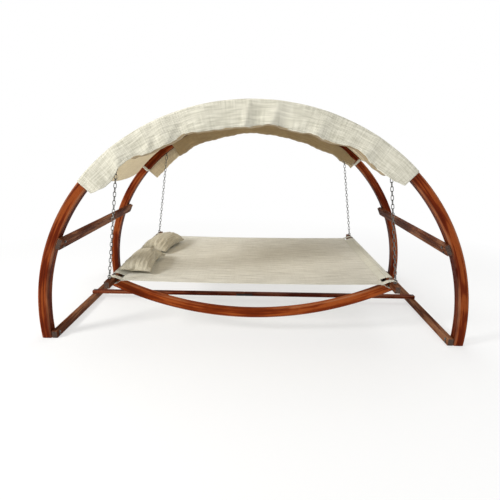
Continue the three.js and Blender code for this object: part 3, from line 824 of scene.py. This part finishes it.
def sleeve_profile():
    """Round the right-hand bar from the seam over the top and back to it, on the cloth's middle."""
    gap = 0.0012
    x0, x1 = END_BAR_X - END_BAR[0] / 2 - gap, END_BAR_X + END_BAR[0] / 2 + gap
    z0, z1 = END_BAR_TOP - END_BAR[1] - gap, END_BAR_TOP + gap
    corners = [(x0, z1), (x1, z1), (x1, z0), (x0, z0)]
    radius = 0.006
    points = [Vector((SEAM_X, SEAM_Z + 0.0012))]
    points += from_seam(x0, z1, (0.15, 0.35, 0.55, 0.75, 0.92))
    for index, (cx, cz) in enumerate(corners):
        middle = pi * (0.75 - 0.5 * index)
        inner = Vector((cx - radius * copysign(1, cos(middle)), cz - radius * copysign(1, sin(middle))))
        for i in range(5):
            a = middle + pi / 4 - i * pi / 8
            points.append(inner + radius * Vector((cos(a), sin(a))))
    points += from_seam(x0, z0, (0.85, 0.6, 0.35, 0.1))
    points.append(Vector((SEAM_X - 0.012, SEAM_Z - 0.0030)))
    return points


def fill_profile(points, step):
    """Adds points on the long stretches of a profile."""
    filled = [points[0]]
    for a, b in zip(points, points[1:]):
        pieces = max(1, ceil((b - a).length / step))
        filled += [a.lerp(b, i / pieces) for i in range(1, pieces + 1)]
    return filled


def cloth_ruck(x, y):
    """Small height changes of the stretched cloth: long soft ripples along it and pulls at the slots."""
    ripple = noise.noise(Vector((x * 1.6, y * 9.0, 3.0))) * 0.0011
    ripple += noise.noise(Vector((x * 5.0, y * 30.0, 8.0))) * 0.0005
    pull = exp(-((abs(y) - 0.64) / 0.05) ** 2) * exp(-((abs(x) - 0.93) / 0.09) ** 2)
    return ripple + pull * 0.004


def seam_distance(value, lines):
    return min((value - line for line in lines), key=abs)


def add_bed_cloth():
    sleeve = fill_profile(sleeve_profile(), 0.014)
    flat_steps = 96
    flat = []
    for i in range(flat_steps + 1):
        x = SEAM_X * (-1 + 2 * i / flat_steps)
        flat.append(Vector((x, MIDDLE_Z + (SEAM_Z - MIDDLE_Z) * (x / SEAM_X) ** 2)))
    left = [Vector((-p.x, p.y)) for p in reversed(sleeve[1:])]
    profile = left + flat + sleeve[1:]
    length = [0.0]
    for a, b in zip(profile, profile[1:]):
        length.append(length[-1] + (b - a).length)
    first_flat, last_flat = len(left), len(left) + flat_steps
    seams = [length[first_flat] + d for d in (-0.004, 0.006)]
    seams += [length[last_flat] + d for d in (-0.006, 0.004)]
    hems = [side * (CLOTH_HALF - 0.012) for side in (-1, 1)]
    ys = sorted({*hems, *(side * y for side in (-1, 1) for y in (SLOT_FROM, SLOT_TO)),
                 *np.round(np.linspace(-CLOTH_HALF, CLOTH_HALF, 119), 5)})
    points, weave = [], []
    for y in ys:
        for i, p in enumerate(profile):
            on_flat = first_flat < i < last_flat
            dip = 0.0035 * (1 - (p.x / SEAM_X) ** 2) * (abs(y) / CLOTH_HALF) ** 6 if on_flat else 0.0
            lift = cloth_ruck(p.x, y) * (1.0 if on_flat else 0.35)
            points.append(Vector((p.x, y, p.y + lift + dip)))
            seam = min(seam_distance(length[i], seams), seam_distance(y, hems), key=abs)
            weave.append((length[i], y, seam))
    count = len(profile)
    faces, kinds = [], []
    for row in range(len(ys) - 1):
        in_slot = SLOT_FROM < abs((ys[row] + ys[row + 1]) / 2) < SLOT_TO
        for i in range(count - 1):
            if in_slot and abs(profile[i].x + profile[i + 1].x) / 2 > SLOT_INNER:
                continue
            a = row * count + i
            faces.append((a, a + 1, a + count + 1, a + count))
            kinds.append(0 if first_flat <= i < last_flat else 1)
    materials = (BED, SLEEVE)
    cloth = mesh_object("bed_cloth_sheet", points, faces, "bed", materials, ("bed_cloth",), 60)
    set_attribute(cloth, "weave", weave)
    cloth.data.polygons.foreach_set("material_index", kinds)
    thicken(cloth, CLOTH_THICK)


add_bed_cloth()

# ---------------------------------------------------------------- canopy

CANOPY_FROM, CANOPY_TO = -48.2, 43.6
FLAP_FROM, FLAP_OPEN, FLAP_TO = -33.5, 37.6, 42.0
FLAP_TOP = 1.535
# How many of a flap's strips lie under the arch.
FLAP_UNDER = 7
ROOF_R = 1.5795
VALANCE_Y = 0.8025
HEM_BASE = {-1: 1.408, 1: 1.396}
# Where the lower edges ride up: degrees from straight up, half width in degrees, and rise in metres.
FRONT_RISES = [
    (-50.5, 4.2, 0.066), (-35.3, 4.6, 0.040), (-17, 3.4, 0.021), (4.8, 2.9, 0.021), (15, 2.2, 0.012),
    (27.4, 4.0, 0.035), (45.5, 4.6, 0.048),
]
BACK_RISES = [
    (-36, 4.0, 0.010), (-25, 5.0, 0.018), (-3, 4.5, 0.010), (24, 4.5, 0.012), (34, 4.5, 0.044),
    (43, 5.0, 0.062),
]
# Folds that stand out of the valances, in the same terms.
FRONT_FOLDS = [
    (-45.5, 1.3, 0.006), (-42, 1.0, -0.004), (-36.8, 1.7, 0.013), (-31.5, 1.8, -0.006),
    (-27.6, 1.2, 0.006), (-23.2, 1.9, 0.011), (-18.4, 1.4, -0.008), (-12.5, 2.6, 0.005),
    (-6.5, 2.0, -0.003), (-1.6, 0.9, 0.010), (1.4, 1.2, -0.006), (5.2, 1.3, 0.011), (8.3, 1.4, -0.007),
    (13, 2.0, 0.003), (17, 1.5, 0.010), (21, 1.8, -0.006), (25.5, 1.5, 0.003), (30.4, 1.8, 0.012),
    (34.6, 1.8, -0.006), (39, 1.6, 0.004),
]
BACK_FOLDS = [
    (-41, 2.0, 0.008), (-33, 1.6, -0.006), (-27, 2.2, 0.009), (-16, 2.0, -0.005), (-10, 1.8, 0.008),
    (-2, 2.4, 0.005), (6, 1.5, -0.006), (12, 2.2, 0.009), (21, 1.7, -0.005), (27, 2.0, 0.009),
    (35, 2.2, 0.008),
]


def sum_of_bumps(degrees, bumps):
    return sum(height * exp(-(((degrees - at) / width) ** 2)) for at, width, height in bumps)


def hem_radius(degrees, side):
    flutter = 0.0018 * sin(degrees * 0.9 + side) + 0.0014 * sin(degrees * 2.3)
    return HEM_BASE[side] + flutter + sum_of_bumps(degrees, FRONT_RISES if side < 0 else BACK_RISES)


def valance_out(degrees, side, drop):
    """How far a valance stands out at drop 0, at the arch, to 1, at its hem."""
    fold = sum_of_bumps(degrees + 1.2 * (drop - 0.5), FRONT_FOLDS if side < 0 else BACK_FOLDS)
    crease = noise.noise(Vector((degrees * 0.45 + 3 * drop, drop * 1.3 + 5 * side, 2.0)))
    gain = 2.0 if fold > 0 else 1.4
    return gain * fold * (0.25 + 0.75 * drop) + 0.0045 * crease * (0.3 + drop)


def roof_sag(degrees):
    """How far the roof's middle hangs below the arches."""
    t = (degrees - CANOPY_FROM) / (CANOPY_TO - CANOPY_FROM)
    return 0.052 + 0.036 * (1 - t) ** 3 - 0.032 * t**3


def valance_points(degrees, side):
    """From the hem up to the roof's edge, as (y, radius)."""
    hem = hem_radius(degrees, side)
    top = ROOF_R - 0.013
    steps = 20
    points = []
    for i in range(steps + 1):
        rise = i / steps
        y = VALANCE_Y + valance_out(degrees, side, 1 - rise) - 0.006 * rise**3
        points.append((side * y, hem + (top - hem) * rise))
    base = abs(points[-1][0])
    points += [(side * (base - 0.0022), ROOF_R - 0.0065), (side * (base - 0.007), ROOF_R - 0.002)]
    points.append((side * (base - 0.015), ROOF_R))
    return points


def roof_points(degrees):
    """Over the front arch, down into the sag, and over the back arch."""
    sag = roof_sag(degrees)
    inner = ARCH_Y - ARCH_THICK / 2
    over = [(-0.765, ROOF_R + 0.0005), (-0.745, ROOF_R + 0.0008), (-0.725, ROOF_R + 0.0003)]
    steps = 30
    span = []
    for i in range(steps + 1):
        t = -1 + 2 * i / steps
        ripple = 0.004 * noise.noise(Vector((degrees * 0.13, t * 2.2, 9.0))) * (1 - t * t)
        span.append((t * inner, ROOF_R - 0.0008 - sag * (1 - t * t) + ripple))
    return over + span + [(-y, r) for y, r in reversed(over)]


def sweep_cloth(name, sections, angles, materials, stands_for, seams, left_out=lambda degrees, k: False):
    """A sheet through sections of (y, radius), one for each angle in degrees.

    seams are metres from its edges, and left_out tells which of its quads are missing.
    """
    points, weave = [], []
    count = len(sections[0])
    for degrees, section in zip(angles, sections):
        angle = radians(degrees)
        across = [0.0]
        for (y0, r0), (y1, r1) in zip(section, section[1:]):
            across.append(across[-1] + hypot(y1 - y0, r1 - r0))
        along = (angle - radians(angles[0])) * ROOF_R
        end = (radians(angles[-1]) - angle) * ROOF_R
        for (y, r), w in zip(section, across):
            points.append(arch_point(angle, r, y))
            to_edge = min(w, across[-1] - w, along, end)
            weave.append((along, w - across[count // 2], seam_distance(to_edge, seams)))
    faces = []
    for i in range(len(sections) - 1):
        for k in range(count - 1):
            a = i * count + k
            if not left_out(angles[i], k):
                faces.append((a, a + count, a + count + 1, a + 1))
    sheet = mesh_object(name, points, faces, "stand", materials, stands_for, 80)
    set_attribute(sheet, "weave", weave)
    return sheet


def add_canopy():
    angles = np.linspace(CANOPY_FROM, CANOPY_TO, 221)
    sections = []
    for degrees in angles:
        front, back = valance_points(degrees, -1), valance_points(degrees, 1)
        sections.append(front + roof_points(degrees) + back[::-1])
    nodes_shown = ("canopy_roof", "front_canopy_valance", "back_canopy_valance")
    # The sheet's second face takes the underside material, whose warmer, brighter colour is painted light.
    canopy = sweep_cloth(
        "canopy_sheet", sections, angles, (CANOPY_OUT, CANOPY_UNDERSIDE_PAINTED_LIGHT), nodes_shown, (0.013, 0.016)
    )
    thicken(canopy, 0.0014, 1, -1)
    pieces = [add_flap(plane, side) for plane, side in PLANES.items()] + add_ties()


def flap_points(degrees, side):
    """From the valance's hem, under the arch and up on its inner side."""
    hem = hem_radius(degrees, side)
    sway = 0.004 * noise.noise(Vector((degrees * 0.35, side * 3.0, 4.0)))
    top = FLAP_TOP + 0.008 * noise.noise(Vector((degrees * 0.16, side * 2.0, 7.0)))
    under = [(VALANCE_Y - 0.003, hem + 0.004), (VALANCE_Y - 0.006, hem + 0.0005), (0.780, hem - 0.003),
             (0.750, hem - 0.005), (0.722, hem - 0.004), (0.707, hem - 0.001), (0.7005, hem + 0.006)]
    points = [(side * y, r) for y, r in under]
    steps = 12
    for i in range(1, steps + 1):
        rise = i / steps
        belly = 0.006 * sin(pi * rise) * sin(degrees * 0.55 + side)
        y = 0.6995 - 0.002 * rise + sway * (1 - 0.5 * rise) + belly
        points.append((side * y, hem + 0.006 + (top - hem - 0.006) * rise))
    return points


def add_flap(plane, side):
    """The flap is open below near its right end, where the chain passes."""
    angles = np.linspace(FLAP_FROM, FLAP_TO, 152)
    sections = [flap_points(degrees, side)[::-side] for degrees in angles]
    strips = len(sections[0]) - 1
    under = range(strips - FLAP_UNDER, strips) if side > 0 else range(FLAP_UNDER)
    name = f"{plane}_canopy_flap"
    # The flap's darker colour is painted shade.
    flap = sweep_cloth(
        f"{name}_cloth", sections, angles, (FLAP_CLOTH_PAINTED_SHADE,), (name,), (0.012,),
        lambda degrees, k: degrees > FLAP_OPEN and k in under,
    )
    thicken(flap, 0.0014)
    return flap


def add_ties():
    """A flat tie round each arch at each end of the canopy."""
    ties = []
    outline = rounded_section(ARCH_THICK + 0.0024, ARCH_OUTER - ARCH_INNER + 0.0024, 0.010)
    middle = (ARCH_INNER + ARCH_OUTER) / 2
    for plane, y_sign in PLANES.items():
        for side, degrees in (("left", CANOPY_FROM + 0.65), ("right", CANOPY_TO - 0.65)):
            points, weave = [], []
            for turn in (-0.0085, 0.0085):
                for i, (a, b, _) in enumerate(outline):
                    points.append(arch_point(radians(degrees) + turn, middle + b, y_sign * ARCH_Y - a))
                    weave.append((i * 0.011, turn * middle, 1.0))
            faces = ring_faces(2, len(outline), caps=False)
            name = f"canopy_tie_{plane}_{side}"
            tie = mesh_object(name, points, faces, "stand", (SLEEVE,), ())
            set_attribute(tie, "weave", weave)
            thicken(tie, 0.0012, 0, 1)
            ties.append(tie)
    return ties


add_canopy()

# ---------------------------------------------------------------- pillows

PILLOWS = {
    "front_pillow": ((-0.889, -0.345), radians(-1), 11),
    "back_pillow": ((-0.862, 0.240), radians(-11), 14),
}
PILLOW_CUT = (0.300, 0.540)
PILLOW_BOX = (0.250, 0.488, 0.128)
PILLOW_Z, PILLOW_TILT = 0.511, radians(4)
END_SLUMP, SIDE_SLUMP, PLEAT = 0.022, 0.014, 0.0036


def pillow_blank(seed):
    """A flat closed bag: two rectangular sheets sewn together round their edge."""
    width, length = PILLOW_CUT
    nx, ny = 34, 62
    rng = random.Random(seed)
    points, weave, faces = [], [], []
    index = {}
    for layer in (-1, 1):
        for j in range(ny + 1):
            for i in range(nx + 1):
                rim = i in (0, nx) or j in (0, ny)
                if rim and layer > 0:
                    index[layer, i, j] = index[-1, i, j]
                    continue
                u, v = 2 * i / nx - 1, 2 * j / ny - 1
                x, y = width / 2 * u * (1 - 0.12 * v**4), length / 2 * v * (1 - 0.05 * u**4)
                bulge = 0.010 * cos(pi * x / width / 1.02) * cos(pi * y / length / 1.02)
                z = 0.0 if rim else layer * (0.003 + bulge + 0.005 * rng.random())
                index[layer, i, j] = len(points)
                points.append((x, y, z))
                from_rim = min(width / 2 - abs(x), length / 2 - abs(y))
                weave.append((y, x + layer * 0.4, from_rim - 0.008))
        for j in range(ny):
            for i in range(nx):
                corners = ((i, j), (i + 1, j), (i + 1, j + 1), (i, j + 1))
                quad = tuple(index[layer, a, b] for a, b in corners)
                faces.append(quad if layer > 0 else tuple(reversed(quad)))
    return points, weave, faces


def inflate(obj, frames=26):
    """Fills the bag with air by cloth simulation and keeps the result."""
    modifier = obj.modifiers.new("fill", "CLOTH")
    settings = modifier.settings
    settings.quality = 7
    settings.mass = 0.25
    settings.tension_stiffness = 40
    settings.compression_stiffness = 40
    settings.shear_stiffness = 20
    settings.bending_stiffness = 0.02
    settings.use_pressure = True
    settings.uniform_pressure_force = 9
    settings.effector_weights.gravity = 0
    modifier.collision_settings.use_collision = False
    modifier.collision_settings.use_self_collision = False
    modifier.point_cache.frame_start = 1
    modifier.point_cache.frame_end = frames
    scene = bpy.context.scene
    for step in range(1, frames + 1):
        scene.frame_set(step)
    depsgraph = bpy.context.evaluated_depsgraph_get()
    shape = obj.evaluated_get(depsgraph).data
    coordinates = np.empty(3 * len(shape.vertices))
    shape.vertices.foreach_get("co", coordinates)
    obj.modifiers.remove(modifier)
    obj.data.vertices.foreach_set("co", coordinates)
    obj.data.update()
    scene.frame_set(1)


def bed_height(x):
    """The cloth's upper face, with the sleeve over the left bar."""
    if x > -SEAM_X:
        return MIDDLE_Z + (SEAM_Z - MIDDLE_Z) * (x / SEAM_X) ** 2 + 0.0025
    t = min(1.0, (-x - SEAM_X) / (END_BAR_X - END_BAR[0] / 2 - SEAM_X))
    return SEAM_Z + (END_BAR_TOP + 0.0035 - SEAM_Z) * t


def settle(obj, place, yaw):
    """Scales the filled bag to its size, lets it slump, gathers its ends and lays it on the cloth."""
    coordinates = np.array([v.co for v in obj.data.vertices])
    size = coordinates.max(axis=0) - coordinates.min(axis=0)
    middle = (coordinates.max(axis=0) + coordinates.min(axis=0)) / 2
    coordinates = (coordinates - middle) * (np.array(PILLOW_BOX) / size)
    turn = shift(*place, PILLOW_Z) @ spin(yaw, "Z") @ spin(PILLOW_TILT, "Y")
    for vertex, (x, y, z) in zip(obj.data.vertices, coordinates):
        u, v = abs(x) / PILLOW_BOX[0] * 2, abs(y) / PILLOW_BOX[1] * 2
        swing = 1.6 * noise.noise(Vector((x * 9, y * 5, place[1] * 7)))
        gather = sin(x * 165 + 2.2 * swing) + 0.6 * sin(x * 95 - 3 * swing + place[1] * 9)
        ease = max(0.0, min(1.0, (v - 0.42) / 0.30)) * max(0.0, 1.0 - v**8)
        slump = END_SLUMP * v**3 + SIDE_SLUMP * u**3
        p = turn @ Vector((x, y, z + copysign(PLEAT, z) * gather * ease - slump))
        floor = bed_height(p.x) + 0.0015
        soft = 0.012
        if p.z < floor + soft:
            t = (p.z - floor) / soft
            p.z = floor + soft * exp(t - 1) if t > -3 else floor + soft * exp(-4)
        vertex.co = p
    obj.data.update()


def add_pillow(name, place, yaw, seed):
    points, weave, faces = pillow_blank(seed)
    pillow = mesh_object(f"{name}_cushion", points, faces, name, (PILLOW,), (name,), 180)
    set_attribute(pillow, "weave", weave)
    inflate(pillow)
    settle(pillow, place, yaw)
    smooth = pillow.modifiers.new("smooth", "SUBSURF")
    smooth.levels = 1
    smooth.render_levels = 1


for pillow_name, (pillow_place, pillow_yaw, pillow_seed) in PILLOWS.items():
    add_pillow(pillow_name, pillow_place, pillow_yaw, pillow_seed)
